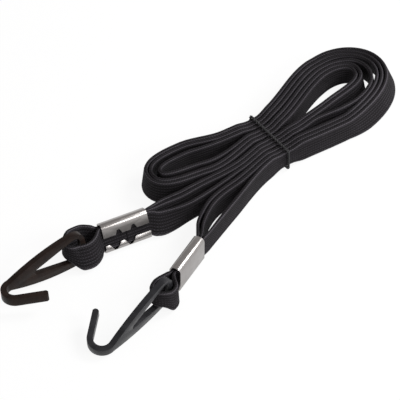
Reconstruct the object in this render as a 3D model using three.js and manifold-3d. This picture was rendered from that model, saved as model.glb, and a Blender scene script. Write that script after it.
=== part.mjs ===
// A three-strand elastic strap with a flat steel hook at each end, folded into a hank and tied.
// Millimetres, Z up. The layout is worked out from the middle of the tie: X runs along the hank,
// Y across it to the far side, and the strap stands on its edge on the plane Z = 0.
// At the end the whole group moves so that its origin is the centre of its box, on that plane.

import * as THREE from 'three';
import { mergeVertices } from 'three/addons/utils/BufferGeometryUtils.js';
import Module from 'manifold-3d';

const wasm = await Module();
wasm.setup();

// Elastic strap
const STRAP_WIDTH = 15;
const STRAP_THICK = 2.2;
const STRAP_CHAMFER = 0.4;
const STRAND_GAP = 0.5;
const RUN_GAP = 1.1;
const SEAT_GAP = 0.3;

// Tie round the waist of the hank
const TIE_DIAMETER = 1.5;
const TIE_CORNER_RADIUS = 1.5;
const TIE_LEAN = 6.4;
const TIE_SHIFT = -1.8;
const PINCH_HALF_LENGTH = 3;
const PINCH_EASE = 9;

// Crimped ferrules
const FERRULE_LENGTH = 28;
const FERRULE_SHEET = 0.8;
const FERRULE_CORNER_RADIUS = 2.8;
const CRIMPED_THICK = 1.4;
const CRIMPED_WIDTH = 13.8;
const CRIMP_ROOM = 0.9;
const SEAM_WIDTH = 4.5;
const SEAM_DROP = 1.8;
const UPPER_NOTCH_WIDTH = 4.2;
const UPPER_NOTCH_DEPTH = 2.5;
const LOWER_NOTCH_WIDTH = 7.2;
const LOWER_NOTCH_DEPTH = 3.8;
const NOTCH_FLAT = 1.6;
const NOTCH_PITCH = 9.2;
const NOTCH_STAGGER = 3.3;

// How far from a ferrule's mouth the strap regains its width, its height, its thickness and upright stand
const CRIMP_FLARE = 4;
const CRIMP_SETTLE = 9;
const CRIMP_UNROLL = 28;

// Flat hooks
const HOOK_THICK = 3.5;
const HOOK_REACH = 57.6;
const EYE_END_WIDTH = 22.6;
const EYE_END_RADIUS = 9;
const EYE_BAR = 3;
const EYE_ARM = 2.2;
const EYE_LENGTH = 31.5;
const EYE_APEX_RADIUS = 1.8;
const EYE_CORNER_RADIUS = 6;
const EYE_CORNER_DROP = 1.4;
const HOOK_FLANK_LENGTH = 28.5;
const HOOK_FLANK_DROP = 0.7;
const HOOK_STRIP_WIDTH = 5.2;
const HOOK_BEND_RADIUS = 5;
const HOOK_MOUTH_ANGLE = 28.5;
const HOOK_TIP_LENGTH = 17.5;
const HOOK_TIP_CORNER = 1;

// Loops of strap through the eyes of the hooks
const LOOP_CROSSING_WIDTH = 11;
const LOOP_CROSSING_THICK = 2.6;
const LOOP_GATHER_LENGTH = 7;

// Where each end lies: the ferrule's mouth on the hook's side, the height of its middle, the way it
// points, its roll and its hook. Across counts from the ferrule's middle to the near side. The hook's
// place is along and across from the mouth, and its turn, dip and roll are in degrees.
// A loop's knots are [along, across, heading], and its tilt is in degrees, lower edge to the near side.
const ENDS = [
  {
    mouth: [-118.8, -21.7],
    height: 8.4,
    heading: 177,
    roll: 30,
    seamSide: 1,
    rawStrand: 0,
    hook: { along: 13.3, across: 2.2, height: 12, turn: 8.5, dip: 4, roll: 4.2, flipped: false },
    loop: {
      near: [[3.2, 3.6, 50], [13, 9, -2]],
      crossing: [23.2, 1.5, -90],
      far: [[10, -5.8, 178]],
      tilt: 30,
    },
  },
  {
    mouth: [-99.7, -69.8],
    height: 8.8,
    heading: 211.9,
    roll: 0,
    seamSide: -1,
    rawStrand: 1,
    hook: { along: 11.3, across: 2.1, height: 15.1, turn: -12.5, dip: 12.7, roll: -8, flipped: true },
    loop: {
      near: [[11.5, 6.8, 2]],
      crossing: [21.2, -0.2, -90],
      far: [[12.5, -5.8, 178]],
      tilt: 4,
    },
  },
];

// Free stretches of the three strands from each ferrule to the tie, as [x, y, heading] knots.
const LEAD_KNOTS = [
  [
    [[-85.5, -26.9, -8], [-66, -26.5, 7], [-26, -17.2, 15]],
    [[-75, -21.1, 7], [-52, -17.6, 6], [-26, -14.4, 15]],
    [[-75, -18.1, 10], [-52, -14.9, 5], [-26, -11.6, 14]],
  ],
  [
    [[-68.4, -41.2, 46], [-57.9, -32.2, 35], [-36.3, -24, 14]],
    [[-66.2, -43.3, 46], [-56.4, -34.8, 35], [-35.7, -26.9, 14]],
    [[-43.5, -37.9, 29]],
  ],
];

// Folds of the hank, as the middle strand runs: inner right fold, left fold, outer right fold.
// A fold has knots on its run in and round its end. One strand may stand away from the others, by
// its spread, and it leaves and rejoins them between shares of the way round. The strap may lean
// there, by so many degrees to the left.
const FOLDS = [
  {
    runIn: [],
    end: [[20, -3.6, 14], [43.3, 2, 17], [70.4, 18.6, 92], [49, 25.9, 199]],
    loose: -1,
    spread: 5.8,
    leaves: [0.08, 0.45],
    rejoins: [0.4, 0.85],
    lean: -9,
  },
  {
    runIn: [],
    end: [[-13.5, -0.4, 199.5], [-44, -8.2, 174], [-73, 2.6, 90], [-48, 14.2, 1], [-22, 9.9, 1]],
    loose: -1,
    spread: 2.4,
    leaves: [0, 0.3],
    rejoins: [0.8, 1],
    lean: 6,
  },
  {
    runIn: [[20, 19.7, 30]],
    end: [[48.2, 34.2, 14], [63, 37, -4], [83.6, 17.8, -90], [57, -9.8, 201], [44, -12.6, 185]],
    loose: 0,
    spread: 0,
    leaves: [0, 1],
    rejoins: [0, 1],
    lean: 20,
  },
];

// Sizes that follow
const STRAND_PLACES = [-1, 0, 1];
const STRAND_LETTERS = ['a', 'b', 'c'];
const STRAND_PITCH = STRAP_THICK + STRAND_GAP;
const RUN_PITCH = STRAND_PLACES.length * STRAND_PITCH - STRAND_GAP + RUN_GAP;
const STRAP_MID = STRAP_WIDTH / 2;
const WAIST_WIDTH = STRAP_WIDTH - 2 * (TIE_DIAMETER + SEAT_GAP);
const SLOT_PITCH = CRIMPED_THICK + SEAT_GAP;
const FERRULE_BORE_THICK = STRAND_PLACES.length * SLOT_PITCH + SEAT_GAP;
const FERRULE_BORE_HEIGHT = CRIMPED_WIDTH + 2 * CRIMP_ROOM;
const FERRULE_HEIGHT = FERRULE_BORE_HEIGHT + 2 * FERRULE_SHEET;
const FERRULE_THICK = FERRULE_BORE_THICK + 2 * FERRULE_SHEET;
const CRIMP_SPLIT = FERRULE_LENGTH / 2;
const SAME_RUN_LENGTH = 3 * RUN_PITCH;

// How finely curves are cut
const TURN_STEP = 10;
const RUN_STEP = 7.5;
const ARC_SEGMENTS = 8;
const TIE_SIDES = 8;
const GAP_STEP = 1;
const MERGE_DISTANCE = 1e-4;

const strapMaterial = new THREE.MeshStandardMaterial({ color: 0x1b1b1e, roughness: 0.85, metalness: 0 });
const tieMaterial = new THREE.MeshStandardMaterial({ color: 0x161617, roughness: 0.6, metalness: 0 });
const ferruleMaterial = new THREE.MeshStandardMaterial({ color: 0xc9c8c6, roughness: 0.25, metalness: 1 });
const hookMaterial = new THREE.MeshStandardMaterial({ color: 0x1f1b1a, roughness: 0.4, metalness: 0.2 });

const radians = THREE.MathUtils.degToRad;
const smooth = (value) => THREE.MathUtils.smoothstep(value, 0, 1);

function direction(heading) {
  return new THREE.Vector2(Math.cos(radians(heading)), Math.sin(radians(heading)));
}

// A point of an end's own frame, along its ferrule and across it, in the layout.
function endPoint(end, along, across) {
  const out = direction(end.heading);
  const x = end.mouth[0] + out.x * along - out.y * across;
  const y = end.mouth[1] + out.y * along + out.x * across;
  return [x, y];
}

// The smooth curve through knots of place and heading, as points with their left normals.
// Between two knots it is one cubic curve whose handles would draw an even arc.
function route(knots) {
  const points = [];
  for (let i = 0; i + 1 < knots.length; i += 1) {
    const [ax, ay, aHeading] = knots[i];
    const [bx, by, bHeading] = knots[i + 1];
    const from = new THREE.Vector2(ax, ay);
    const to = new THREE.Vector2(bx, by);
    const chord = from.distanceTo(to);
    const turn = Math.abs(THREE.MathUtils.euclideanModulo(bHeading - aHeading + 180, 360) - 180);
    const handle = chord / (3 * Math.cos(radians(turn / 4)) ** 2);
    const fromHandle = from.clone().addScaledVector(direction(aHeading), handle);
    const toHandle = to.clone().addScaledVector(direction(bHeading), -handle);
    const curve = new THREE.CubicBezierCurve(from, fromHandle, toHandle, to);
    const steps = Math.max(2, Math.ceil(turn / TURN_STEP), Math.ceil(chord / RUN_STEP));
    for (let step = i === 0 ? 0 : 1; step <= steps; step += 1) {
      const share = step / steps;
      const tangent = curve.getTangent(share);
      points.push({
        place: curve.getPoint(share),
        left: new THREE.Vector2(-tangent.y, tangent.x),
        knot: i + share,
      });
    }
  }
  return points;
}

// Joins rings of points into one closed skin, with flat ends unless the last ring meets the first.
// The two faces of a strap are cut along like diagonals, so that twisted neighbours stay apart.
function skin(rings, closed) {
  const sides = rings[0].length;
  const positions = rings.flat().flatMap((point) => point.toArray());
  const faces = [];
  const spans = closed ? rings.length : rings.length - 1;
  for (let ring = 0; ring < spans; ring += 1) {
    const here = ring * sides;
    const next = ((ring + 1) % rings.length) * sides;
    for (let side = 0; side < sides; side += 1) {
      const other = (side + 1) % sides;
      if (side < sides / 2) {
        faces.push(here + side, here + other, next + other);
        faces.push(here + side, next + other, next + side);
      } else {
        faces.push(here + side, here + other, next + side);
        faces.push(here + other, next + other, next + side);
      }
    }
  }
  if (!closed) {
    const last = (rings.length - 1) * sides;
    for (let side = 1; side + 1 < sides; side += 1) {
      faces.push(0, side + 1, side);
      faces.push(last, last + side, last + side + 1);
    }
  }
  const geometry = new THREE.BufferGeometry();
  geometry.setAttribute('position', new THREE.Float32BufferAttribute(positions, 3));
  geometry.setIndex(faces);
  geometry.computeVertexNormals();
  return geometry;
}

// The strap's section at one place: centre, the ways through its thickness and along its width.
function strapRing(centre, through, along, thick, width) {
  const t = thick / 2;
  const w = width / 2;
  const c = STRAP_CHAMFER;
  const corners = [
    [t, -w + c], [t, w - c], [t - c, w], [-t + c, w],
    [-t, w - c], [-t, -w + c], [-t + c, -w], [t - c, -w],
  ];
  const corner = ([x, y]) => centre.clone().addScaledVector(through, x).addScaledVector(along, y);
  return corners.map(corner);
}

// The strap's width, drawn in under the tie and easing out on both sides of it.
function widthNearTie(x, y) {
  const lean = direction(TIE_LEAN);
  const away = Math.abs(x * lean.x + y * lean.y);
  return WAIST_WIDTH + (STRAP_WIDTH - WAIST_WIDTH) * smooth((away - PINCH_HALF_LENGTH) / PINCH_EASE);
}

// A place under the tie, counted across it, for a run that heads towards +X or back.
function waistKnot(across, backwards) {
  const lean = direction(TIE_LEAN);
  return [-lean.y * across, lean.x * across, TIE_LEAN + (backwards ? 180 : 0)];
}

// Runs cross the tie in this order from the near side: second lead, first lead, left fold, outer fold.
const RUN_PLACES = [-1.5, -0.5, 0.5, 1.5].map((place) => place * RUN_PITCH + TIE_SHIFT);

// The hank's middle strand: from the first lead's cut, round the three folds, to the second's.
// Each point carries its fold and how far through the fold it is, from 0 to 1.
function hankRoute() {
  const laneAfter = [RUN_PLACES[2], RUN_PLACES[3], RUN_PLACES[0]];
  const knots = [waistKnot(RUN_PLACES[1], false)];
  const starts = [];
  FOLDS.forEach((fold, i) => {
    starts.push(knots.length + fold.runIn.length);
    knots.push(...fold.runIn, ...fold.end, waistKnot(laneAfter[i], i !== 1));
  });
  return route(knots).map(({ place, left, knot }) => {
    const index = Math.max(0, starts.findLastIndex((start) => knot >= start));
    const fold = FOLDS[index];
    const share = (knot - starts[index]) / (fold.end.length - 1);
    return { place, left, fold, share: THREE.MathUtils.clamp(share, 0, 1) };
  });
}

// Strand centres of the hank, each beside the middle strand, loose where a fold says so.
function hankStrand(strand) {
  const points = hankRoute().map(({ place, left, fold, share }) => {
    const gone = THREE.MathUtils.smoothstep(share, ...fold.leaves);
    const back = THREE.MathUtils.smoothstep(share, ...fold.rejoins);
    const swell = fold.loose === strand ? fold.spread * (gone - back) : 0;
    const aside = strand * STRAND_PITCH + Math.sign(strand) * swell;
    const lean = fold.lean * Math.sin(Math.PI * share);
    return { place: place.clone().addScaledVector(left, aside), left, lean };
  });
  const ends = [[0, 1], [points.length - 1, points.length - 2]];
  for (const [end, inner] of ends) {
    const inwards = points[inner].place.clone().sub(points[end].place).normalize();
    points[end].place.addScaledVector(inwards, SEAT_GAP / 2);
  }
  return points;
}

// The ways through the strap and along its width where it leans, its lower edge to the left.
function leaning(left, degrees) {
  const lean = radians(degrees);
  const through = new THREE.Vector3(left.x * Math.cos(lean), left.y * Math.cos(lean), Math.sin(lean));
  const along = new THREE.Vector3(-left.x * Math.sin(lean), -left.y * Math.sin(lean), Math.cos(lean));
  return [through, along];
}

function hankGeometry(points) {
  const rings = points.map(({ place, left, lean }) => {
    const width = widthNearTie(place.x, place.y);
    const tilt = Math.abs(radians(lean));
    const height = (STRAP_WIDTH * Math.cos(tilt) + STRAP_THICK * Math.sin(tilt)) / 2;
    const centre = new THREE.Vector3(place.x, place.y, height);
    return strapRing(centre, ...leaning(left, lean), STRAP_THICK, width);
  });
  return skin(rings, false);
}

// Where a strand lies across a ferrule. Leads leave the two ferrules in opposite senses.
function slotAcross(endIndex, strand) {
  return (endIndex === 0 ? -strand : strand) * SLOT_PITCH;
}

// One free strand, from inside its ferrule to the cut under the tie.
function leadPoints(endIndex, strand) {
  const end = ENDS[endIndex];
  const across = slotAcross(endIndex, strand);
  const depth = end.rawStrand === strand ? SEAT_GAP : CRIMP_SPLIT + SEAT_GAP / 2;
  const heading = end.heading - 180;
  const lane = RUN_PLACES[1 - endIndex] + (endIndex === 0 ? strand : -strand) * STRAND_PITCH;
  const inSlot = across * Math.cos(radians(end.roll));
  const knots = [
    [...endPoint(end, -depth, inSlot), heading],
    [...endPoint(end, -FERRULE_LENGTH, inSlot), heading],
    ...LEAD_KNOTS[endIndex][strand + 1],
    waistKnot(lane, false),
  ];
  const points = route(knots);
  const last = points[points.length - 1];
  last.place.addScaledVector(direction(TIE_LEAN), -SEAT_GAP / 2);
  return points;
}

function leadGeometry(endIndex, strand, points) {
  const end = ENDS[endIndex];
  const out = direction(end.heading);
  const slotHeight = end.height + slotAcross(endIndex, strand) * Math.sin(radians(end.roll));
  const rings = points.map(({ place, left }) => {
    const along = (place.x - end.mouth[0]) * out.x + (place.y - end.mouth[1]) * out.y;
    const freed = -along - FERRULE_LENGTH;
    const upright = smooth(freed / CRIMP_UNROLL);
    const thick = CRIMPED_THICK + (STRAP_THICK - CRIMPED_THICK) * upright;
    const widthFree = widthNearTie(place.x, place.y);
    const width = CRIMPED_WIDTH + (widthFree - CRIMPED_WIDTH) * smooth(freed / CRIMP_FLARE);
    const height = slotHeight + (STRAP_MID - slotHeight) * smooth(freed / CRIMP_SETTLE);
    const centre = new THREE.Vector3(place.x, place.y, height);
    return strapRing(centre, ...leaning(left, -end.roll * (1 - upright)), thick, width);
  });
  return skin(rings, false);
}

// The loop through a hook's eye, in its end's level frame, gathered where it crosses the eye.
// It leaves the ferrule with the ferrule's roll, and takes its own tilt and full width at once.
function loopGeometry(endIndex) {
  const end = ENDS[endIndex];
  const { near, crossing, far, tilt } = end.loop;
  const roll = radians(end.roll);
  const strands = STRAND_PLACES.filter((strand) => strand !== end.rawStrand);
  const slots = strands.map((strand) => slotAcross(endIndex, strand) * Math.cos(roll));
  const [farSlot, nearSlot] = slots.sort((a, b) => a - b);
  const depth = CRIMP_SPLIT - SEAT_GAP / 2;
  const pastBar = crossing[0] - end.hook.along;
  const crossingHeight = end.hook.height - pastBar * Math.sin(radians(end.hook.dip));
  const knots = [
    [-depth, nearSlot, 0],
    [0, nearSlot, 0],
    ...near,
    crossing,
    ...far,
    [0, farSlot, 180],
    [-depth, farSlot, 180],
  ];
  const rings = route(knots).map(({ place, left }) => {
    const freed = smooth(place.x / CRIMP_FLARE);
    const gathered = smooth((place.x - crossing[0]) / LOOP_GATHER_LENGTH + 1);
    const lean = radians(end.roll + (tilt - end.roll) * freed) * (1 - gathered);
    const rise = (crossingHeight - end.height) * gathered;
    const inSlot = place.y * Math.tan(roll) * (1 - freed);
    const thickFree = CRIMPED_THICK + (STRAP_THICK - CRIMPED_THICK) * freed;
    const widthFree = CRIMPED_WIDTH + (STRAP_WIDTH - CRIMPED_WIDTH) * freed;
    const thick = thickFree + (LOOP_CROSSING_THICK - thickFree) * gathered;
    const width = widthFree + (LOOP_CROSSING_WIDTH - widthFree) * gathered;
    const centre = new THREE.Vector3(place.x, place.y, inSlot + rise);
    const along = new THREE.Vector3(0, -Math.sin(lean), Math.cos(lean));
    const through = new THREE.Vector3(left.x, left.y, 0);
    through.addScaledVector(along, -through.dot(along)).normalize();
    return strapRing(centre, through, along, thick, width);
  });
  return skin(rings, false);
}

// Solids for joins and cuts.
function solid(geometry) {
  const plain = geometry.index ? geometry.toNonIndexed() : geometry;
  const bare = new THREE.BufferGeometry();
  bare.setAttribute('position', plain.getAttribute('position'));
  const merged = mergeVertices(bare, MERGE_DISTANCE);
  const mesh = new wasm.Mesh({
    numProp: 3,
    vertProperties: new Float32Array(merged.getAttribute('position').array),
    triVerts: new Uint32Array(merged.index.array),
  });
  return new wasm.Manifold(mesh);
}

function geometryOf(manifold) {
  const mesh = manifold.getMesh();
  const geometry = new THREE.BufferGeometry();
  geometry.setAttribute('position', new THREE.Float32BufferAttribute(mesh.vertProperties, 3));
  geometry.setIndex(Array.from(mesh.triVerts));
  geometry.computeVertexNormals();
  return geometry;
}

function roundedRectangle(width, height, radius) {
  const x = width / 2;
  const y = height / 2;
  const shape = new THREE.Shape();
  shape.moveTo(-x + radius, -y);
  shape.lineTo(x - radius, -y);
  shape.absarc(x - radius, -y + radius, radius, -Math.PI / 2, 0, false);
  shape.lineTo(x, y - radius);
  shape.absarc(x - radius, y - radius, radius, 0, Math.PI / 2, false);
  shape.lineTo(-x + radius, y);
  shape.absarc(-x + radius, y - radius, radius, Math.PI / 2, Math.PI, false);
  shape.lineTo(-x, -y + radius);
  shape.absarc(-x + radius, -y + radius, radius, Math.PI, Math.PI * 1.5, false);
  return shape;
}

function extrude(shape, depth) {
  const options = { depth, bevelEnabled: false, curveSegments: ARC_SEGMENTS };
  return new THREE.ExtrudeGeometry(shape, options);
}

// The ferrule's seam, drawn along the ferrule and up it: two flaps whose notches face each other.
function seamShape() {
  const shape = new THREE.Shape();
  const top = SEAM_WIDTH / 2 - SEAM_DROP;
  const bottom = -SEAM_WIDTH / 2 - SEAM_DROP;
  const start = -FERRULE_LENGTH - SEAT_GAP;
  const upperCentres = [-0.5, 0.5].map((step) => -FERRULE_LENGTH / 2 + step * NOTCH_PITCH);
  const lowerCentres = upperCentres.map((centre) => centre + NOTCH_STAGGER);
  shape.moveTo(start, bottom);
  for (const centre of lowerCentres) {
    shape.lineTo(centre - LOWER_NOTCH_WIDTH / 2, bottom);
    shape.lineTo(centre - NOTCH_FLAT / 2, bottom - LOWER_NOTCH_DEPTH);
    shape.lineTo(centre + NOTCH_FLAT / 2, bottom - LOWER_NOTCH_DEPTH);
    shape.lineTo(centre + LOWER_NOTCH_WIDTH / 2, bottom);
  }
  shape.lineTo(SEAT_GAP, bottom);
  shape.lineTo(SEAT_GAP, top);
  for (const centre of upperCentres.toReversed()) {
    shape.lineTo(centre + UPPER_NOTCH_WIDTH / 2, top);
    shape.lineTo(centre + NOTCH_FLAT / 2, top + UPPER_NOTCH_DEPTH);
    shape.lineTo(centre - NOTCH_FLAT / 2, top + UPPER_NOTCH_DEPTH);
    shape.lineTo(centre - UPPER_NOTCH_WIDTH / 2, top);
  }
  shape.lineTo(start, top);
  return shape;
}

// A ferrule before its roll: along X from the strap's mouth to the hook's, across Y, up Z.
function ferruleGeometry(seamSide) {
  const boreRadius = FERRULE_CORNER_RADIUS - FERRULE_SHEET;
  const outline = roundedRectangle(FERRULE_THICK, FERRULE_HEIGHT, FERRULE_CORNER_RADIUS);
  const boreOutline = roundedRectangle(FERRULE_BORE_THICK, FERRULE_BORE_HEIGHT, boreRadius);
  const boreLength = FERRULE_LENGTH + 2 * SEAT_GAP;
  const alongX = new THREE.Matrix4().makeBasis(
    new THREE.Vector3(0, 1, 0),
    new THREE.Vector3(0, 0, 1),
    new THREE.Vector3(1, 0, 0),
  );
  const outer = extrude(outline, FERRULE_LENGTH).applyMatrix4(alongX);
  outer.translate(-FERRULE_LENGTH, 0, 0);
  const bore = extrude(boreOutline, boreLength).applyMatrix4(alongX);
  bore.translate(-FERRULE_LENGTH - SEAT_GAP, 0, 0);
  const seam = extrude(seamShape(), FERRULE_THICK).rotateX(Math.PI / 2);
  seam.translate(0, seamSide > 0 ? FERRULE_THICK : 0, 0);
  return geometryOf(solid(outer).subtract(solid(bore)).subtract(solid(seam)));
}

// The plate of a hook, drawn along its length from the middle of the eye's end bar and across.
function hookPlateShape(bendStart) {
  const halfEnd = EYE_END_WIDTH / 2;
  const halfFlank = halfEnd - HOOK_FLANK_DROP;
  const halfStrip = HOOK_STRIP_WIDTH / 2;
  const back = -EYE_BAR / 2;
  const shape = new THREE.Shape();
  shape.moveTo(back, -halfEnd + EYE_END_RADIUS);
  shape.quadraticCurveTo(back, -halfEnd, back + EYE_END_RADIUS, -halfEnd);
  shape.quadraticCurveTo(HOOK_FLANK_LENGTH, -halfFlank, bendStart, -halfStrip);
  shape.lineTo(bendStart, halfStrip);
  shape.quadraticCurveTo(HOOK_FLANK_LENGTH, halfFlank, back + EYE_END_RADIUS, halfEnd);
  shape.quadraticCurveTo(back, halfEnd, back, halfEnd - EYE_END_RADIUS);

  const halfEye = halfEnd - EYE_ARM;
  const front = EYE_BAR / 2;
  const apex = front + EYE_LENGTH;
  const eye = new THREE.Path();
  eye.moveTo(front, -halfEye + EYE_CORNER_RADIUS);
  eye.lineTo(front, halfEye - EYE_CORNER_RADIUS);
  eye.quadraticCurveTo(front, halfEye, front + EYE_CORNER_RADIUS, halfEye - EYE_CORNER_DROP);
  eye.lineTo(apex - EYE_APEX_RADIUS, EYE_APEX_RADIUS);
  eye.absarc(apex - EYE_APEX_RADIUS, 0, EYE_APEX_RADIUS, Math.PI / 2, -Math.PI / 2, true);
  eye.lineTo(front + EYE_CORNER_RADIUS, -halfEye + EYE_CORNER_DROP);
  eye.quadraticCurveTo(front, -halfEye, front, -halfEye + EYE_CORNER_RADIUS);
  shape.holes.push(eye);
  return shape;
}

// The hooked strip seen on its edge, along the hook and out from its plate.
function hookBendShape(bendStart) {
  const half = HOOK_THICK / 2;
  const centre = half + HOOK_BEND_RADIUS;
  const turn = radians(180 - HOOK_MOUTH_ANGLE);
  const from = -Math.PI / 2;
  const to = from + turn;
  const tip = new THREE.Vector2(Math.cos(turn), Math.sin(turn));
  const outwards = new THREE.Vector2(Math.cos(to), Math.sin(to));
  const bendEnd = (radius) => new THREE.Vector2(bendStart, centre).addScaledVector(outwards, radius);
  const outer = bendEnd(HOOK_BEND_RADIUS + HOOK_THICK);
  const inner = bendEnd(HOOK_BEND_RADIUS);
  const place = (point, along, aside) => {
    const moved = point.clone().addScaledVector(tip, along).addScaledVector(outwards, aside);
    return [moved.x, moved.y];
  };
  const shape = new THREE.Shape();
  shape.moveTo(bendStart - HOOK_THICK, -half);
  shape.lineTo(bendStart, -half);
  shape.absarc(bendStart, centre, HOOK_BEND_RADIUS + HOOK_THICK, from, to, false);
  shape.lineTo(...place(outer, HOOK_TIP_LENGTH - HOOK_TIP_CORNER, 0));
  shape.lineTo(...place(outer, HOOK_TIP_LENGTH, -HOOK_TIP_CORNER));
  shape.lineTo(...place(inner, HOOK_TIP_LENGTH, HOOK_TIP_CORNER));
  shape.lineTo(...place(inner, HOOK_TIP_LENGTH - HOOK_TIP_CORNER, 0));
  shape.lineTo(inner.x, inner.y);
  shape.absarc(bendStart, centre, HOOK_BEND_RADIUS, to, from, true);
  shape.lineTo(bendStart - HOOK_THICK, half);
  return shape;
}

// A hook in its own frame: X from the end bar to the bend, Y to the side of its tip, Z across it.
function hookGeometry() {
  const bendStart = HOOK_REACH - HOOK_BEND_RADIUS - HOOK_THICK;
  const plate = extrude(hookPlateShape(bendStart), HOOK_THICK);
  plate.translate(0, 0, -HOOK_THICK / 2).rotateX(Math.PI / 2);
  const bend = extrude(hookBendShape(bendStart), HOOK_STRIP_WIDTH);
  bend.translate(0, 0, -HOOK_STRIP_WIDTH / 2);
  return geometryOf(solid(plate).add(solid(bend)));
}

// The tie: a round cord bent to a rounded rectangle that hugs the waist, upright across the hank.
function tieGeometry() {
  const radius = TIE_DIAMETER / 2;
  const halfWaist = 2 * RUN_PITCH - RUN_GAP / 2 + SEAT_GAP + radius;
  const halfHeight = WAIST_WIDTH / 2 + SEAT_GAP + radius;
  const outline = roundedRectangle(2 * halfWaist, 2 * halfHeight, TIE_CORNER_RADIUS);
  const centreline = outline.getPoints(ARC_SEGMENTS).slice(0, -1);
  const lean = direction(TIE_LEAN);
  const across = new THREE.Vector3(-lean.y, lean.x, 0);
  const along = new THREE.Vector3(lean.x, lean.y, 0);
  const up = new THREE.Vector3(0, 0, 1);
  const count = centreline.length;
  const rings = centreline.map((point, index) => {
    const before = centreline[(index + count - 1) % count];
    const after = centreline[(index + 1) % count];
    const tangent = after.clone().sub(before).normalize();
    const outwards = across.clone().multiplyScalar(tangent.y).addScaledVector(up, -tangent.x);
    const centre = across.clone().multiplyScalar(point.x + TIE_SHIFT);
    centre.addScaledVector(up, point.y + STRAP_MID);
    return Array.from({ length: TIE_SIDES }, (_, side) => {
      const angle = ((side + 0.5) * 2 * Math.PI) / TIE_SIDES;
      const spoke = centre.clone().addScaledVector(outwards, radius * Math.cos(angle));
      return spoke.addScaledVector(along, radius * Math.sin(angle));
    });
  });
  return skin(rings, true);
}

// Turns a skin right side out if its faces were wound inwards.
function facingOut(geometry) {
  const position = geometry.getAttribute('position');
  const index = geometry.index.array;
  const corners = [0, 1, 2].map(() => new THREE.Vector3());
  let volume = 0;
  for (let face = 0; face < index.length; face += 3) {
    corners.forEach((corner, k) => corner.fromBufferAttribute(position, index[face + k]));
    volume += corners[0].dot(corners[1].clone().cross(corners[2]));
  }
  if (volume < 0) {
    for (let face = 0; face < index.length; face += 3) {
      [index[face + 1], index[face + 2]] = [index[face + 2], index[face + 1]];
    }
    geometry.computeVertexNormals();
  }
  return geometry;
}

// Points closely spaced along a strand's centre.
function finePoints(points) {
  const fine = [];
  for (let i = 0; i + 1 < points.length; i += 1) {
    const from = points[i].place;
    const to = points[i + 1].place;
    const steps = Math.max(1, Math.ceil(from.distanceTo(to) / GAP_STEP));
    for (let step = 0; step < steps; step += 1) {
      fine.push(from.clone().lerp(to, step / steps));
    }
  }
  return fine;
}

// The least clear space from a strand to its own other runs.
function leastGap(line) {
  const apart = SAME_RUN_LENGTH / GAP_STEP;
  let least = Infinity;
  for (let i = 0; i < line.length; i += 1) {
    for (let j = i + 1; j < line.length; j += 1) {
      if (j - i > apart) {
        least = Math.min(least, line[i].distanceTo(line[j]));
      }
    }
  }
  return least - STRAP_THICK;
}

const part = new THREE.Group();
function add(parent, name, geometry, material) {
  const mesh = new THREE.Mesh(facingOut(geometry), material);
  mesh.name = name;
  parent.add(mesh);
  return mesh;
}

STRAND_PLACES.forEach((strand, i) => {
  const points = hankStrand(strand);
  const name = `hank_strand_${STRAND_LETTERS[i]}`;
  const gap = leastGap(finePoints(points));
  console.log(`${name}: least gap to itself ${gap.toFixed(2)} mm`);
  add(part, name, hankGeometry(points), strapMaterial);
});
add(part, 'tie', tieGeometry(), tieMaterial);

ENDS.forEach((end, endIndex) => {
  const number = endIndex + 1;
  STRAND_PLACES.forEach((strand, i) => {
    const points = leadPoints(endIndex, strand);
    const name = `lead_${number}_strand_${STRAND_LETTERS[i]}`;
    add(part, name, leadGeometry(endIndex, strand, points), strapMaterial);
  });

  const endFrame = new THREE.Group();
  endFrame.position.set(end.mouth[0], end.mouth[1], end.height);
  endFrame.rotation.z = radians(end.heading);
  part.add(endFrame);
  const ferrule = add(endFrame, `ferrule_${number}`, ferruleGeometry(end.seamSide), ferruleMaterial);
  ferrule.rotation.x = radians(end.roll);
  add(endFrame, `eye_loop_${number}`, loopGeometry(endIndex), strapMaterial);

  const { along, across, height, turn, dip, roll, flipped } = end.hook;
  const hookFrame = new THREE.Group();
  hookFrame.position.set(...endPoint(end, along, across), height);
  hookFrame.rotation.order = 'ZYX';
  const rolled = roll + (flipped ? 180 : 0);
  hookFrame.rotation.set(radians(rolled), radians(dip), radians(end.heading + turn));
  part.add(hookFrame);
  add(hookFrame, `hook_${number}`, hookGeometry(), hookMaterial);
});

// The origin goes to the middle of the box, on the plane that the strap stands on.
part.updateMatrixWorld(true);
const box = new THREE.Box3().setFromObject(part, true);
part.position.set(-(box.min.x + box.max.x) / 2, -(box.min.y + box.max.y) / 2, -box.min.z);

export default part;
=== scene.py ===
import math

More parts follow.
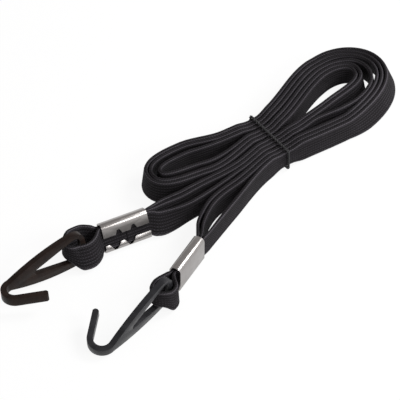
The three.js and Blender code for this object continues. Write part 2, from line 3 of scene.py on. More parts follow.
import bmesh
import bpy
import numpy as np
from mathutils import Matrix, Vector


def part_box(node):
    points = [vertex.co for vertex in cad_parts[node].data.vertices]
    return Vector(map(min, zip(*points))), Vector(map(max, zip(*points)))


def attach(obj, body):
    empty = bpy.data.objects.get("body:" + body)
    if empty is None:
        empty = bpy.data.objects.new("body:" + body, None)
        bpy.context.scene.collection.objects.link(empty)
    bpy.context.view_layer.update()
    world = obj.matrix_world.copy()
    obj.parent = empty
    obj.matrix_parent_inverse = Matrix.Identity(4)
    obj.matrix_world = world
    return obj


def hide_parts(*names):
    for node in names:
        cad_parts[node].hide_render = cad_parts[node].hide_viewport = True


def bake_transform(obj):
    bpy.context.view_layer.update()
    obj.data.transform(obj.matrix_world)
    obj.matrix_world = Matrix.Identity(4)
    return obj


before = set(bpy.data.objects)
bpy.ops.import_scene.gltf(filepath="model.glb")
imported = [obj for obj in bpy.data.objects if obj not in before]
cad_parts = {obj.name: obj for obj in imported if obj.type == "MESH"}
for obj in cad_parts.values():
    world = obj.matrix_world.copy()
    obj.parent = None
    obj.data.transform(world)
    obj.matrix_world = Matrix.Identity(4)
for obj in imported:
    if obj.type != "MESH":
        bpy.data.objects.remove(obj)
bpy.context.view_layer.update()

# Sizes and routes of the part's source, in millimetres and degrees, in the layout round the tie.
MM = 0.001
STRAND_PLACES = (-1, 0, 1)
STRAND_LETTERS = "abc"
STRAP_WIDTH = 15
STRAP_THICK = 2.2
STRAND_GAP = 0.5
STRAND_PITCH = STRAP_THICK + STRAND_GAP
RUN_GAP = 1.1
RUN_PITCH = len(STRAND_PLACES) * STRAND_PITCH - STRAND_GAP + RUN_GAP
SEAT_GAP = 0.3
TIE_DIAMETER = 1.5
TIE_CORNER_RADIUS = 1.5
TIE_LEAN = 6.4
TIE_SHIFT = -1.8
PINCH_HALF_LENGTH = 3
PINCH_EASE = 9
WAIST_WIDTH = STRAP_WIDTH - 2 * (TIE_DIAMETER + SEAT_GAP)
FERRULE_LENGTH = 28
CRIMPED_THICK = 1.4
CRIMPED_WIDTH = 13.8
CRIMP_FLARE = 4
CRIMP_SETTLE = 9
CRIMP_UNROLL = 28
SLOT_PITCH = CRIMPED_THICK + SEAT_GAP
LOOP_CROSSING_WIDTH = 11
LOOP_CROSSING_THICK = 2.6
LOOP_GATHER_LENGTH = 7

# Runs cross the tie in this order from the near side: second lead, first lead, left fold, outer fold.
RUN_PLACES = [place * RUN_PITCH + TIE_SHIFT for place in (-1.5, -0.5, 0.5, 1.5)]

# The two ends. A loop's knots are (along, across, heading) from its ferrule's mouth.
ENDS = [
    {
        "mouth": (-118.8, -21.7), "height": 8.4, "heading": 177, "roll": 30, "raw_strand": 0,
        "hook": {"along": 13.3, "height": 12, "dip": 4},
        "loop": {
            "near": [(3.2, 3.6, 50), (13, 9, -2)], "crossing": (23.2, 1.5, -90),
            "far": [(10, -5.8, 178)], "tilt": 30,
        },
    },
    {
        "mouth": (-99.7, -69.8), "height": 8.8, "heading": 211.9, "roll": 0, "raw_strand": 1,
        "hook": {"along": 11.3, "height": 15.1, "dip": 12.7},
        "loop": {
            "near": [(11.5, 6.8, 2)], "crossing": (21.2, -0.2, -90),
            "far": [(12.5, -5.8, 178)], "tilt": 4,
        },
    },
]

# Free stretches of the three strands from each ferrule to the tie, as (x, y, heading) knots.
LEAD_KNOTS = [
    [
        [(-85.5, -26.9, -8), (-66, -26.5, 7), (-26, -17.2, 15)],
        [(-75, -21.1, 7), (-52, -17.6, 6), (-26, -14.4, 15)],
        [(-75, -18.1, 10), (-52, -14.9, 5), (-26, -11.6, 14)],
    ],
    [
        [(-68.4, -41.2, 46), (-57.9, -32.2, 35), (-36.3, -24, 14)],
        [(-66.2, -43.3, 46), (-56.4, -34.8, 35), (-35.7, -26.9, 14)],
        [(-43.5, -37.9, 29)],
    ],
]

# Folds of the hank's middle strand: inner right fold, left fold, outer right fold. One strand may
# stand away by the spread, between shares of the way round, and the strap may lean to the left.
FOLDS = [
    {
        "run_in": [],
        "end": [(20, -3.6, 14), (43.3, 2, 17), (70.4, 18.6, 92), (49, 25.9, 199)],
        "loose": -1, "spread": 5.8, "leaves": (0.08, 0.45), "rejoins": (0.4, 0.85), "lean": -9,
    },
    {
        "run_in": [],
        "end": [
            (-13.5, -0.4, 199.5), (-44, -8.2, 174), (-73, 2.6, 90), (-48, 14.2, 1), (-22, 9.9, 1),
        ],
        "loose": -1, "spread": 2.4, "leaves": (0, 0.3), "rejoins": (0.8, 1), "lean": 6,
    },
    {
        "run_in": [(20, 19.7, 30)],
        "end": [
            (48.2, 34.2, 14), (63, 37, -4), (83.6, 17.8, -90), (57, -9.8, 201), (44, -12.6, 185),
        ],
        "loose": 0, "spread": 0, "leaves": (0, 1), "rejoins": (0, 1), "lean": 20,
    },
]


def smooth(value):
    """An even step from 0 to 1."""
    share = np.clip(value, 0, 1)
    return share * share * (3 - 2 * share)


def smooth_between(value, low, high):
    return smooth((value - low) / (high - low))


def direction(heading):
    return np.array([math.cos(math.radians(heading)), math.sin(math.radians(heading))])


# The layout's place in the model follows from the tie, whose box is centred on its own middle.
tie_low, tie_high = (np.array(corner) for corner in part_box("tie"))
tie_way = direction(TIE_LEAN)
tie_middle = np.array([-tie_way[1] * TIE_SHIFT, tie_way[0] * TIE_SHIFT, STRAP_WIDTH / 2])
LAYOUT_SHIFT = (tie_low + tie_high) / 2 - tie_middle * MM


def placed(points):
    """Layout millimetres as metres in the model's frame."""
    return np.asarray(points, float) * MM + LAYOUT_SHIFT


def new_object(name, data):
    """An object of the scene, which holds the data."""
    made = bpy.data.objects.new(name, data)
    bpy.context.scene.collection.objects.link(made)
    return made


def aim(thing, place, way):
    """Sets a camera or lamp at its place, looking the given way."""
    thing.location = place
    thing.rotation_mode = "QUATERNION"
    thing.rotation_quaternion = way.to_track_quat("-Z", "Y")


# Camera: the photograph's angle, from far off, with a long lens.
VIEW_AZIMUTH = math.radians(-30)
VIEW_ELEVATION = math.radians(45)
VIEW_DISTANCE = 6
VIEW_WIDTH = 0.2224
VIEW_TARGET = Vector(placed((-52.44, -15.49, 0)))
SENSOR_WIDTH = 36
CLIP_NEAR, CLIP_FAR = 0.1, 60

camera_back = Vector((
    math.sin(VIEW_AZIMUTH) * math.cos(VIEW_ELEVATION),
    -math.cos(VIEW_AZIMUTH) * math.cos(VIEW_ELEVATION),
    math.sin(VIEW_ELEVATION),
))
camera_data = bpy.data.cameras.new("camera")
camera_data.sensor_width = SENSOR_WIDTH
camera_data.lens = SENSOR_WIDTH * VIEW_DISTANCE / VIEW_WIDTH
camera_data.clip_start = CLIP_NEAR
camera_data.clip_end = CLIP_FAR
camera = new_object("camera", camera_data)
aim(camera, VIEW_TARGET + camera_back * VIEW_DISTANCE, -camera_back)
bpy.context.scene.camera = camera


# Materials

class Graph:
    """A node tree, with short ways to add nodes and join them."""

    def __init__(self, tree):
        self.nodes, self.links = tree.nodes, tree.links

    def feed(self, socket, value):
        """Joins an input to another node's output, or sets it to a plain value."""
        if isinstance(value, bpy.types.NodeSocket):
            self.links.new(value, socket)
        else:
            socket.default_value = value

    def set(self, made, inputs):
        """Feeds a node's inputs, given as (socket name or number, value) pairs."""
        for key, value in inputs:
            self.feed(made.inputs[key], value)

    def add(self, kind, inputs=(), **settings):
        """A new node, with its settings and its inputs."""
        made = self.nodes.new(kind)
        for key, value in settings.items():
            setattr(made, key, value)
        self.set(made, inputs)
        return made

    def maths(self, operation, *values):
        return self.add("ShaderNodeMath", enumerate(values), operation=operation).outputs[0]

    def noise(self, vector, scale, detail):
        inputs = [("Vector", vector), ("Scale", scale), ("Detail", detail)]
        return self.add("ShaderNodeTexNoise", inputs).outputs["Fac"]

    def rescaled(self, value, before, after, kind="LINEAR"):
        """A value taken from one range to another, and kept inside it."""
        inputs = [
            ("Value", value), ("From Min", before[0]), ("From Max", before[1]),
            ("To Min", after[0]), ("To Max", after[1]),
        ]
        return self.add("ShaderNodeMapRange", inputs, interpolation_type=kind).outputs["Result"]

    def colours(self, value, *stops):
        """A ramp over (place, colour) stops."""
        made = self.add("ShaderNodeValToRGB", [("Fac", value)])
        elements = made.color_ramp.elements
        while len(elements) < len(stops):
            elements.new(0.5)
        for element, (place, colour) in zip(elements, stops):
            element.position = place
            element.color = (*colour, 1)
        return made.outputs["Color"]

    def bump(self, height, strength, distance):
        inputs = [("Height", height), ("Strength", strength), ("Distance", distance)]
        return self.add("ShaderNodeBump", inputs).outputs["Normal"]


def new_material(name):
    material = bpy.data.materials.new(name)
    material.use_nodes = True
    graph = Graph(material.node_tree)
    return material, graph, graph.nodes["Principled BSDF"]


# The weave, in millimetres. Its tone and its height add up from shares of its parts.
RIBS = 8
RIB_PITCH = STRAP_WIDTH / RIBS
PICK_PITCH = 1.5
CHEVRON_SLOPE = 1.6
GRAIN_SCALE, GRAIN_DETAIL = 2.2, 4
PATCH_SCALE, PATCH_DETAIL = 0.06, 2
# Painted shade: how much darker the ribs' grooves are coloured than their crowns.
GROOVE_SHADE_TONE = 1.1
YARN_TONE = 0.42
GRAIN_TONE = 0.35
PATCH_TONE = 0.3
TONE_LEVEL = 0.52
YARN_HEIGHT = 0.6
GRAIN_HEIGHT = 0.5
# The painted highlight line inside each edge, where the rounded edge would catch the light, as shares
# of half the width, and how it and the darker rim beyond it shift the tone.
HIGHLIGHT_LINE_STARTS = (0.81, 0.88)
HIGHLIGHT_LINE_ENDS = (0.9, 0.98)
HIGHLIGHT_LINE_TONE, RIM_TONE = 0.5, -0.16


def woven_elastic():
    """Black flat elastic: lengthwise ribs with painted shade in their grooves, yarns that cross them in
    chevrons, a painted highlight line by each edge.

    Its UV map is in millimetres, across the strap from its middle and along it.
    """
    material, graph, shader = new_material("woven_elastic")
    uv = graph.add("ShaderNodeUVMap", uv_map="strap").outputs["UV"]
    axes = graph.add("ShaderNodeSeparateXYZ", [("Vector", uv)]).outputs
    across, along = axes["X"], axes["Y"]

    ribs = graph.maths("DIVIDE", across, RIB_PITCH)
    crown = graph.maths("PINGPONG", graph.maths("ADD", ribs, 0.5), 0.5)
    slope = graph.maths("MULTIPLY", crown, CHEVRON_SLOPE)
    picks = graph.maths("ADD", graph.maths("DIVIDE", along, PICK_PITCH), slope)
    wave = graph.maths("SINE", graph.maths("MULTIPLY", picks, 2 * math.pi))
    yarn = graph.maths("MULTIPLY_ADD", wave, 0.5, 0.5)
    grain = graph.noise(uv, GRAIN_SCALE, GRAIN_DETAIL)
    patches = graph.noise(uv, PATCH_SCALE, PATCH_DETAIL)

    from_middle = graph.maths("DIVIDE", graph.maths("ABSOLUTE", across), STRAP_WIDTH / 2)
    nearing = graph.rescaled(from_middle, HIGHLIGHT_LINE_STARTS, (0, 1), "SMOOTHSTEP")
    passing = graph.rescaled(from_middle, HIGHLIGHT_LINE_ENDS, (HIGHLIGHT_LINE_TONE, RIM_TONE), "SMOOTHSTEP")
    # Painted highlight: a pale line just inside each edge, then a darker rim at the very edge.
    painted_edge_highlight = graph.maths("MULTIPLY", nearing, passing)

    # Painted shade in the ribs' grooves, with their crowns lighter.
    tone = graph.maths("MULTIPLY", crown, GROOVE_SHADE_TONE)
    tone = graph.maths("MULTIPLY_ADD", yarn, YARN_TONE, tone)
    tone = graph.maths("MULTIPLY_ADD", grain, GRAIN_TONE, tone)
    tone = graph.maths("MULTIPLY_ADD", patches, PATCH_TONE, tone)
    tone = graph.maths("MULTIPLY", tone, TONE_LEVEL)
    tone = graph.maths("ADD", tone, painted_edge_highlight)
    height = graph.maths("MULTIPLY_ADD", yarn, YARN_HEIGHT, crown)
    height = graph.maths("MULTIPLY_ADD", grain, GRAIN_HEIGHT, height)
    colour = graph.colours(
        tone,
        (0.14, (0.0022, 0.0020, 0.0022)),
        (0.42, (0.0114, 0.0102, 0.0116)),
        (0.68, (0.037, 0.0338, 0.0395)),
        (1.0, (0.097, 0.0905, 0.101)),
    )
    graph.set(shader, [
        ("Base Color", colour),
        ("Normal", graph.bump(height, strength=0.55, distance=0.00022)),
        ("Roughness", graph.rescaled(grain, (0, 1), (0.66, 0.9))),
        ("Specular IOR Level", 0.1),
    ])
    return material


def twisted_cord():
    """The tie's matt black yarn, with a fine fibrous grain."""
    material, graph, shader = new_material("twisted_cord")
    place = graph.add("ShaderNodeTexCoord").outputs["Object"]
    fibres = graph.noise(place, scale=2600, detail=3)
    dark, light = (0.008, 0.008, 0.0085), (0.026, 0.0255, 0.027)
    graph.set(shader, [
        ("Base Color", graph.colours(fibres, (0.3, dark), (0.7, light))),
        ("Normal", graph.bump(fibres, strength=0.5, distance=0.0001)),
        ("Roughness", 0.62),
    ])
    return material


def blackened_steel(name, painted_warmth, painted_paleness, shine):
    """Semi-gloss black finish on stamped steel, softly mottled, with fine pores. Each hook's copy is
    warmed and lightened to the tone it shows under the lamps: painted light and shade.
    """
    material, graph, shader = new_material(name)
    place = graph.add("ShaderNodeTexCoord").outputs["Object"]
    mottle = graph.noise(place, scale=160, detail=5)
    pores = graph.noise(place, scale=2200, detail=2)
    # Painted light and shade: the warmth and paleness set this copy's tone.
    dark = painted_paleness * np.array([0.004, 0.004, 0.0046]) + painted_warmth * np.array([0.004, 0.0015, 0.0005])
    light = painted_paleness * np.array([0.009, 0.009, 0.0102]) + painted_warmth * np.array([0.010, 0.004, 0.001])
    graph.set(shader, [
        ("Base Color", graph.colours(mottle, (0.3, dark), (0.72, light))),
        ("Normal", graph.bump(pores, strength=0.16, distance=0.00008)),
        ("Roughness", graph.rescaled(mottle, (0.3, 0.7), (0.3, 0.46))),
        ("Specular IOR Level", shine),
    ])
    return material


DRAWN_STRETCH = 24


def plated_steel(name, heading):
    """Bright plated sheet with fine drawing lines along the ferrule."""
    material, graph, shader = new_material(name)
    place = graph.add("ShaderNodeTexCoord").outputs["Object"]
    drawn = graph.add("ShaderNodeMapping", [
        ("Vector", place),
        ("Rotation", (0, 0, math.radians(heading))),
        ("Scale", (DRAWN_STRETCH, 1, 1)),
    ], vector_type="TEXTURE").outputs["Vector"]
    lines = graph.noise(drawn, scale=2400, detail=3)
    stains = graph.noise(place, scale=170, detail=4)
    dull, bright = (0.32, 0.303, 0.294), (0.37, 0.355, 0.348)
    graph.set(shader, [
        ("Base Color", graph.colours(stains, (0.3, dull), (0.7, bright))),
        ("Normal", graph.bump(lines, strength=0.02, distance=0.00001)),
        ("Roughness", graph.rescaled(lines, (0, 1), (0.3, 0.32))),
        ("Metallic", 1),
    ])
    return material


STRAP_FINISH = woven_elastic()
TIE_FINISH = twisted_cord()
# One black finish on both hooks: a darker, browner copy for hook 1 and a paler copy for hook 2, as
# painted shade and painted light.
HOOK_FINISH = [
    blackened_steel("blackened_steel_1", painted_warmth=1.4, painted_paleness=1, shine=0.1),
    blackened_steel("blackened_steel_2", painted_warmth=0, painted_paleness=2.7, shine=0.22),
]
FERRULE_FINISH = [plated_steel(f"plated_steel_{i + 1}", end["heading"]) for i, end in enumerate(ENDS)]


# Routes of the strap. Rings are centres, ways through the strap and along its width, and its
# thickness and width, all in layout millimetres.
RING_STEP = 1.6
LOOP_RING_STEP = 0.8
RING_TURN = 5


def route(knots, step):
    """The smooth curve through (x, y, heading) knots: places, left normals and knot counts."""
    places, lefts, counts = [], [], []
    for i, (a, b) in enumerate(zip(knots[:-1], knots[1:])):
        start, stop = np.array(a[:2], float), np.array(b[:2], float)
        chord = np.linalg.norm(stop - start)
        turn = abs((b[2] - a[2] + 180) % 360 - 180)
        handle = chord / (3 * math.cos(math.radians(turn / 4)) ** 2)
        p1 = start + direction(a[2]) * handle
        p2 = stop - direction(b[2]) * handle
        steps = max(2, math.ceil(chord / step), math.ceil(turn / RING_TURN))
        for k in range(0 if i == 0 else 1, steps + 1):
            t = k / steps
            u = 1 - t
            places.append(u**3 * start + 3 * u * u * t * p1 + 3 * u * t * t * p2 + t**3 * stop)
            tangent = u * u * (p1 - start) + 2 * u * t * (p2 - p1) + t * t * (stop - p2)
            tangent /= np.linalg.norm(tangent)
            lefts.append((-tangent[1], tangent[0]))
            counts.append(i + t)
    return np.array(places), np.array(lefts), np.array(counts)


def end_point(end, along, across):
    """A point of an end's own frame, along its ferrule and across it, in the layout."""
    out = direction(end["heading"])
    x = end["mouth"][0] + out[0] * along - out[1] * across
    y = end["mouth"][1] + out[1] * along + out[0] * across
    return x, y


def waist_knot(across, backwards):
    """A place under the tie, counted across it, for a run that heads towards +X or back."""
    return -tie_way[1] * across, tie_way[0] * across, TIE_LEAN + (180 if backwards else 0)


def width_near_tie(places):
    """The strap's width, drawn in under the tie and easing out on both sides of it."""
    away = np.abs(places @ tie_way)
    eased = smooth((away - PINCH_HALF_LENGTH) / PINCH_EASE)
    return WAIST_WIDTH + (STRAP_WIDTH - WAIST_WIDTH) * eased


def leaning(lefts, degrees):
    """The ways through the strap and along its width where it leans, its lower edge to the left."""
    lean = np.radians(degrees)
    through = np.column_stack([lefts * np.cos(lean)[:, None], np.sin(lean)])
    along = np.column_stack([-lefts * np.sin(lean)[:, None], np.cos(lean)])
    return through, along


def hank_rings(strand):
    """A strand of the hank, from the first lead's cut, round the three folds, to the second's."""
    lane_after = [RUN_PLACES[2], RUN_PLACES[3], RUN_PLACES[0]]
    knots = [waist_knot(RUN_PLACES[1], False)]
    starts = []
    for i, fold in enumerate(FOLDS):
        starts.append(len(knots) + len(fold["run_in"]))
        knots += [*fold["run_in"], *fold["end"], waist_knot(lane_after[i], i != 1)]
    places, lefts, counts = route(knots, RING_STEP)
    aside = np.zeros(len(places))
    lean = np.zeros(len(places))
    for k, count in enumerate(counts):
        index = max([0] + [i for i, start in enumerate(starts) if count >= start])
        fold = FOLDS[index]
        share = min(1, max(0, (count - starts[index]) / (len(fold["end"]) - 1)))
        gone = smooth_between(share, *fold["leaves"])
        back = smooth_between(share, *fold["rejoins"])
        swell = fold["spread"] * (gone - back) if fold["loose"] == strand else 0
        aside[k] = strand * STRAND_PITCH + np.sign(strand) * swell
        lean[k] = fold["lean"] * math.sin(math.pi * share)
    places = places + lefts * aside[:, None]
    tilt = np.abs(np.radians(lean))
    height = (STRAP_WIDTH * np.cos(tilt) + STRAP_THICK * np.sin(tilt)) / 2
    centres = np.column_stack([places, height])
    thick = np.full(len(places), float(STRAP_THICK))
    return centres, *leaning(lefts, lean), thick, width_near_tie(places)


def slot_across(end_index, strand):
    """A strand's place in its ferrule; the first end is seen the other way round."""
    return (-strand if end_index == 0 else strand) * SLOT_PITCH


def lead_rings(end_index, strand):
    """A free strand, from inside its ferrule to its cut under the tie."""
    end = ENDS[end_index]
    across = slot_across(end_index, strand)
    depth = SEAT_GAP if end["raw_strand"] == strand else (FERRULE_LENGTH + SEAT_GAP) / 2
    heading = end["heading"] - 180
    lane = RUN_PLACES[1 - end_index] + (strand if end_index == 0 else -strand) * STRAND_PITCH
    in_slot = across * math.cos(math.radians(end["roll"]))
    knots = [
        (*end_point(end, -depth, in_slot), heading),
        (*end_point(end, -FERRULE_LENGTH, in_slot), heading),
        *LEAD_KNOTS[end_index][strand + 1],
        waist_knot(lane, False),
    ]
    places, lefts, _ = route(knots, RING_STEP)
    freed = -((places - np.array(end["mouth"])) @ direction(end["heading"])) - FERRULE_LENGTH
    upright = smooth(freed / CRIMP_UNROLL)
    thick = CRIMPED_THICK + (STRAP_THICK - CRIMPED_THICK) * upright
    width = CRIMPED_WIDTH + (width_near_tie(places) - CRIMPED_WIDTH) * smooth(freed / CRIMP_FLARE)
    slot_height = end["height"] + across * math.sin(math.radians(end["roll"]))
    height = slot_height + (STRAP_WIDTH / 2 - slot_height) * smooth(freed / CRIMP_SETTLE)
    centres = np.column_stack([places, height])
    return centres, *leaning(lefts, -end["roll"] * (1 - upright)), thick, width


def loop_rings(end_index):
    """The loop through a hook's eye, gathered where it crosses the eye's bar."""
    end = ENDS[end_index]
    loop = end["loop"]
    crossing = loop["crossing"]
    roll = math.radians(end["roll"])
    strands = [strand for strand in STRAND_PLACES if strand != end["raw_strand"]]
    near_slot, far_slot = sorted(
        (slot_across(end_index, strand) * math.cos(roll) for strand in strands), reverse=True,
    )
    depth = (FERRULE_LENGTH - SEAT_GAP) / 2
    past_bar = crossing[0] - end["hook"]["along"]
    crossing_height = end["hook"]["height"] - past_bar * math.sin(math.radians(end["hook"]["dip"]))
    knots = [
        (-depth, near_slot, 0), (0, near_slot, 0), *loop["near"], crossing,
        *loop["far"], (0, far_slot, 180), (-depth, far_slot, 180),
    ]
    places, lefts, _ = route(knots, LOOP_RING_STEP)
    freed = smooth(places[:, 0] / CRIMP_FLARE)
    gathered = smooth((places[:, 0] - crossing[0]) / LOOP_GATHER_LENGTH + 1)
    lean = np.radians(end["roll"] + (loop["tilt"] - end["roll"]) * freed) * (1 - gathered)
    rise = (crossing_height - end["height"]) * gathered
    in_slot = places[:, 1] * math.tan(roll) * (1 - freed)
    thick_free = CRIMPED_THICK + (STRAP_THICK - CRIMPED_THICK) * freed
    width_free = CRIMPED_WIDTH + (STRAP_WIDTH - CRIMPED_WIDTH) * freed
    thick = thick_free + (LOOP_CROSSING_THICK - thick_free) * gathered
    width = width_free + (LOOP_CROSSING_WIDTH - width_free) * gathered
    centres = np.column_stack([places, in_slot + rise])
    along = np.column_stack([np.zeros(len(lean)), -np.sin(lean), np.cos(lean)])
    through = np.column_stack([lefts, np.zeros(len(lean))])
    through = through - along * np.sum(through * along, axis=1)[:, None]
    through /= np.linalg.norm(through, axis=1)[:, None]
    out = direction(end["heading"])
    headed = np.array([[out[0], -out[1], 0], [out[1], out[0], 0], [0, 0, 1]])
    origin = np.array([*end["mouth"], end["height"]])
    return centres @ headed.T + origin, through @ headed.T, along @ headed.T, thick, width


# The strap's own section: ribs on both faces, round edges.
RIB_SAMPLES = 4
RIB_DEPTH = 0.14
RIB_FULLNESS = 0.7
EDGE_SAMPLES = 5
STRAP_SHARP_ANGLE = math.radians(60)


def strap_section():
    """Points round the section as shares of half its thickness and half its width."""
    flat = 1 - STRAP_THICK / STRAP_WIDTH
    half = []
    for k in range(RIBS * RIB_SAMPLES + 1):
        share = -flat + 2 * flat * k / (RIBS * RIB_SAMPLES)
        crest = abs(math.sin(math.pi * k / RIB_SAMPLES)) ** RIB_FULLNESS
        half.append((1 - RIB_DEPTH * (1 - crest), share))
    for k in range(1, EDGE_SAMPLES + 1):
        angle = math.pi * k / (EDGE_SAMPLES + 1)
        half.append(((1 - RIB_DEPTH) * math.cos(angle), flat + (1 - flat) * math.sin(angle)))
    return np.array(half + [(-thick, -share) for thick, share in half])


SECTION = strap_section()


def strap_piece(name, rings):
    """A length of strap as one closed mesh; gives the object and its ring centres in metres."""
    centres, through, along, thick, width = rings
    sides = len(SECTION)
    count = len(centres)
    points = (
        centres[:, None, :]
        + through[:, None, :] * (SECTION[None, :, 0:1] * thick[:, None, None] / 2)
        + along[:, None, :] * (SECTION[None, :, 1:2] * width[:, None, None] / 2)
    )
    faces = []
    for ring in range(count - 1):
        here, after = ring * sides, (ring + 1) * sides
        for side in range(sides):
            other = (side + 1) % sides
            faces.append((here + side, here + other, after + other, after + side))
    faces.append(tuple(reversed(range(sides))))
    faces.append(tuple(range((count - 1) * sides, count * sides)))
    mesh = bpy.data.meshes.new(name)
    mesh.from_pydata(placed(points.reshape(-1, 3)).tolist(), [], faces)
    lengths = np.concatenate([[0], np.cumsum(np.linalg.norm(np.diff(centres, axis=0), axis=1))])
    weave_places = np.column_stack([
        np.tile(SECTION[:, 1] * STRAP_WIDTH / 2, count),
        np.repeat(lengths, sides),
    ])
    uv = mesh.uv_layers.new(name="strap")
    corners = np.empty(len(mesh.loops), int)
    mesh.loops.foreach_get("vertex_index", corners)
    uv.data.foreach_set("uv", weave_places[corners].astype(np.float32).ravel())
    outward = bmesh.new()
    outward.from_mesh(mesh)
    bmesh.ops.recalc_face_normals(outward, faces=outward.faces)
    outward.to_mesh(mesh)
    outward.free()
    mesh.shade_smooth()
    mesh.set_sharp_from_angle(angle=STRAP_SHARP_ANGLE)
    mesh.materials.append(STRAP_FINISH)
    return new_object(name, mesh), placed(centres)


def under_the_tie(rings):
    """Rings of a hank strand, parted where it last passes under the tie, with that ring in both."""
    before = rings[0][:, :2] @ tie_way
    cut = max(i for i in range(2, len(before) - 2) if before[i - 1] < 0 <= before[i])
    return tuple(part[:cut + 1] for part in rings), tuple(part[cut:] for part in rings)


# The hank's three strands ride with the tie: one length round the inner and the left fold,
# and one round the outer fold.
for strand, letter in zip(STRAND_PLACES, STRAND_LETTERS):
    lengths = under_the_tie(hank_rings(strand))
    for name, rings in zip(("strap_two_folds", "strap_outer_fold"), lengths):
        piece, line = strap_piece(f"{name}_{letter}", rings)
        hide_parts(f"hank_strand_{letter}")
        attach(piece, "hank")

for end_index, end in enumerate(ENDS):
    number = end_index + 1
    for strand, letter in zip(STRAND_PLACES, STRAND_LETTERS):
        piece, line = strap_piece(f"strap_lead_{number}_{letter}", lead_rings(end_index, strand))
        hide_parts(f"lead_{number}_strand_{letter}")
        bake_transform(piece)
    piece, line = strap_piece(f"strap_loop_{number}", loop_rings(end_index))
    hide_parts(f"eye_loop_{number}")
    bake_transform(piece)


# Plain meshes from modifiers and node trees.

def plain_mesh(source, name):
    """The source's finished shape as a new object with no modifier."""
    graph = bpy.context.evaluated_depsgraph_get()
    mesh = bpy.data.meshes.new_from_object(source.evaluated_get(graph))
    mesh.name = name
    bpy.data.objects.remove(source)
    return new_object(name, mesh)


# Ferrules and hooks: sizes in metres.
MERGE_DISTANCE = 0.00001
FLAT_ANGLE = math.radians(0.6)
FERRULE_EASE = 0.0002
HOOK_EASE = 0.0005
EASE_SEGMENTS = 3
EASE_ANGLE = math.radians(38)
METAL_SHARP_ANGLE = math.radians(42)


def eased_copy(cad_node, name, radius, material):
    """A solid of the part with its sharp edges eased, as a tumbled stamping has them."""
    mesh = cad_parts[cad_node].data.copy()
    mesh.transform(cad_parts[cad_node].matrix_world)
    merged = bmesh.new()
    merged.from_mesh(mesh)
    bmesh.ops.remove_doubles(merged, verts=merged.verts, dist=MERGE_DISTANCE)
    bmesh.ops.dissolve_limit(merged, angle_limit=FLAT_ANGLE, verts=merged.verts, edges=merged.edges)
    merged.to_mesh(mesh)
    merged.free()
    source = new_object(f"{name}_source", mesh)
    bevel = source.modifiers.new("eased", "BEVEL")
    bevel.width = radius
    bevel.segments = EASE_SEGMENTS
    bevel.limit_method = "ANGLE"
    bevel.angle_limit = EASE_ANGLE
    bevel.miter_outer = "MITER_ARC"
    piece = plain_mesh(source, name)
    piece.data.materials.clear()
    piece.data.materials.append(material)
    piece.data.shade_smooth()
    piece.data.set_sharp_from_angle(angle=METAL_SHARP_ANGLE)
    return piece


for number, (ferrule_finish, hook_finish) in enumerate(zip(FERRULE_FINISH, HOOK_FINISH), start=1):
    ferrule = eased_copy(f"ferrule_{number}", f"ferrule_shell_{number}", FERRULE_EASE, ferrule_finish)
    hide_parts(f"ferrule_{number}")
    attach(ferrule, f"end_{number}")
    hook = eased_copy(f"hook_{number}", f"hook_plate_{number}", HOOK_EASE, hook_finish)
    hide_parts(f"hook_{number}")
    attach(hook, f"hook_{number}_body")


# The tie: three twisted plies that follow the path round the waist, in millimetres.
PLY_RADIUS = 0.345
PLY_OFFSET = 0.4
PLY_COUNT = 3
PLY_SIDES = 10
PLY_STEP = 0.4
TIE_TURNS = 18.0
TIE_CORNER_STEPS = 8


def twisted_tree():
    """A tree that sweeps twisted plies along a curve, and the identifiers of its inputs."""
    tree = bpy.data.node_groups.new("twisted_plies", "GeometryNodeTree")
    face = tree.interface
    face.new_socket("Geometry", in_out="INPUT", socket_type="NodeSocketGeometry")
    names = {}
    for label, kind in (
        ("Ply radius", "NodeSocketFloat"),
        ("Ply offset", "NodeSocketFloat"),
        ("Ply count", "NodeSocketInt"),
        ("Turns", "NodeSocketFloat"),
        ("Step", "NodeSocketFloat"),
        ("Material", "NodeSocketMaterial"),
    ):
        names[label] = face.new_socket(label, in_out="INPUT", socket_type=kind).identifier
    face.new_socket("Geometry", in_out="OUTPUT", socket_type="NodeSocketGeometry")
    graph = Graph(tree)
    given = graph.add("NodeGroupInput").outputs

    path = graph.add("GeometryNodeResampleCurve", [
        ("Curve", given["Geometry"]), ("Length", given["Step"]),
    ], mode="LENGTH").outputs["Curve"]
    gone = graph.add("GeometryNodeSplineParameter").outputs["Factor"]
    tilt = graph.maths("MULTIPLY", graph.maths("MULTIPLY", gone, given["Turns"]), 2 * math.pi)
    twist = graph.add("GeometryNodeSetCurveTilt", [("Curve", path), ("Tilt", tilt)])

    hub = graph.add("GeometryNodeCurvePrimitiveCircle", [
        ("Resolution", given["Ply count"]), ("Radius", given["Ply offset"]),
    ], mode="RADIUS")
    ply = graph.add("GeometryNodeCurvePrimitiveCircle", [
        ("Resolution", PLY_SIDES), ("Radius", given["Ply radius"]),
    ], mode="RADIUS")
    plies = graph.add("GeometryNodeInstanceOnPoints", [
        ("Points", hub.outputs["Curve"]), ("Instance", ply.outputs["Curve"]),
    ])
    profile = graph.add("GeometryNodeRealizeInstances", [("Geometry", plies.outputs["Instances"])])

    sweep = graph.add("GeometryNodeCurveToMesh", [
        ("Curve", twist.outputs["Curve"]), ("Profile Curve", profile.outputs["Geometry"]),
        ("Fill Caps", True),
    ])
    shade = graph.add("GeometryNodeSetShadeSmooth", [("Geometry", sweep.outputs["Mesh"])])
    realize = graph.add("GeometryNodeRealizeInstances", [("Geometry", shade.outputs["Geometry"])])
    finish = graph.add("GeometryNodeSetMaterial", [
        ("Geometry", realize.outputs["Geometry"]), ("Material", given["Material"]),
    ])
    graph.add("NodeGroupOutput", [("Geometry", finish.outputs["Geometry"])])
    return tree, names


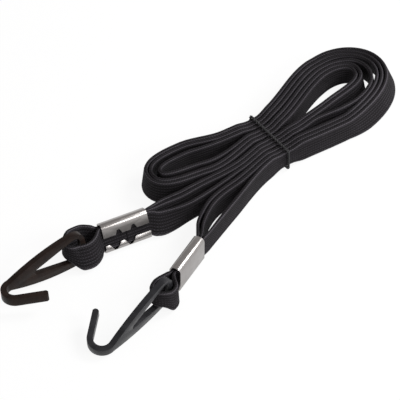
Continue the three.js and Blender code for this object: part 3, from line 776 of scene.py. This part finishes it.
def twisted_ring(name, points):
    """A closed cord of twisted plies that follows points in layout millimetres."""
    curve = bpy.data.curves.new(f"{name}_path", "CURVE")
    curve.dimensions = "3D"
    spline = curve.splines.new("POLY")
    spline.points.add(len(points) - 1)
    for point, place in zip(spline.points, placed(points)):
        point.co = (*place, 1)
    spline.use_cyclic_u = True
    source = new_object(f"{name}_source", curve)
    modifier = source.modifiers.new("plies", "NODES")
    modifier.node_group, names = twisted_tree()
    for label, value in (
        ("Ply radius", PLY_RADIUS * MM),
        ("Ply offset", PLY_OFFSET * MM),
        ("Ply count", PLY_COUNT),
        ("Turns", TIE_TURNS),
        ("Step", PLY_STEP * MM),
        ("Material", TIE_FINISH),
    ):
        modifier[names[label]] = value
    return plain_mesh(source, name)


def tie_path():
    """The tie's closed path round the runs, a rounded oblong in its upright plane."""
    radius = TIE_DIAMETER / 2
    half_waist = len(RUN_PLACES) / 2 * RUN_PITCH - RUN_GAP / 2 + SEAT_GAP + radius
    half_height = WAIST_WIDTH / 2 + SEAT_GAP + radius
    corner = TIE_CORNER_RADIUS
    path = []
    for sx, sy, start in ((1, -1, -90), (1, 1, 0), (-1, 1, 90), (-1, -1, 180)):
        for k in range(TIE_CORNER_STEPS + 1):
            angle = math.radians(start + 90 * k / TIE_CORNER_STEPS)
            across = sx * (half_waist - corner) + corner * math.cos(angle) + TIE_SHIFT
            height = sy * (half_height - corner) + corner * math.sin(angle) + STRAP_WIDTH / 2
            path.append((-tie_way[1] * across, tie_way[0] * across, height))
    return path


tie = twisted_ring("tie_cord", tie_path())
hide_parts("tie")
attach(tie, "hank")


# Floor, background and light, in metres.
FLOOR_HALF = 4
FLOOR_DROP = 0.0003
FLOOR_COLOUR = (0.9, 0.9, 0.9, 1)
FLOOR_WHITE = 0.9
SKY_COLOUR = (1, 0.965, 0.95, 1)
SKY_STRENGTH = 0.45
BACKDROP_ENDS = (0.1, 0.5)


def camera_white(graph, base, white_kind, share, reflected):
    """Mixes plain white into what the camera sees, and into reflections by the share given."""
    path = graph.add("ShaderNodeLightPath").outputs
    mirrored = graph.maths("MAXIMUM", path["Is Glossy Ray"], path["Is Transmission Ray"])
    mirrored = graph.maths("MULTIPLY", mirrored, reflected)
    seen = graph.maths("MAXIMUM", path["Is Camera Ray"], mirrored)
    amount = graph.maths("MULTIPLY", seen, share)
    white = graph.add(white_kind, [("Color", (1, 1, 1, 1)), ("Strength", 1)]).outputs[0]
    return graph.add("ShaderNodeMixShader", [(0, amount), (1, base), (2, white)]).outputs[0]


floor_mesh = bpy.data.meshes.new("floor")
floor_corners = [(x * FLOOR_HALF, y * FLOOR_HALF, 0) for x, y in ((-1, -1), (1, -1), (1, 1), (-1, 1))]
floor_mesh.from_pydata(floor_corners, [], [(0, 1, 2, 3)])
floor = new_object("floor", floor_mesh)
floor.location = (0, 0, -FLOOR_DROP)
floor_material, floor_graph, floor_shader = new_material("pale_floor")
floor_graph.set(floor_shader, [
    ("Base Color", FLOOR_COLOUR), ("Roughness", 0.9), ("Specular IOR Level", 0.1),
])
floor_out = camera_white(
    floor_graph, floor_shader.outputs[0], "ShaderNodeEmission", share=FLOOR_WHITE, reflected=1,
)
floor_graph.feed(floor_graph.nodes["Material Output"].inputs["Surface"], floor_out)
floor_mesh.materials.append(floor_material)

# The studio: a white background all round, under a dimmer, warm grey ceiling.
world = bpy.data.worlds.new("studio")
world.use_nodes = True
bpy.context.scene.world = world
studio = Graph(world.node_tree)
sky = studio.nodes["Background"]
studio.set(sky, [("Color", SKY_COLOUR), ("Strength", SKY_STRENGTH)])
towards = studio.add("ShaderNodeTexCoord").outputs["Generated"]
upwards = studio.add("ShaderNodeSeparateXYZ", [("Vector", towards)]).outputs["Z"]
backdrop = studio.rescaled(upwards, BACKDROP_ENDS, (1, 0), "SMOOTHSTEP")
studio_out = camera_white(studio, sky.outputs[0], "ShaderNodeBackground", share=1, reflected=backdrop)
studio.feed(studio.nodes["World Output"].inputs["Surface"], studio_out)


def soft_lamp(name, place, size, power):
    """A rectangular lamp that looks at the part's middle."""
    data = bpy.data.lights.new(name, "AREA")
    data.shape = "RECTANGLE"
    data.size, data.size_y = size
    data.energy = power
    aim(new_object(name, data), place, -Vector(place))


soft_lamp("top_light", place=(0.66, -0.12, 0.7), size=(0.4, 0.4), power=7)
soft_lamp("near_light", place=(0.3, -0.74, 0.6), size=(0.5, 0.3), power=5)

bpy.context.scene.view_settings.view_transform = "Standard"
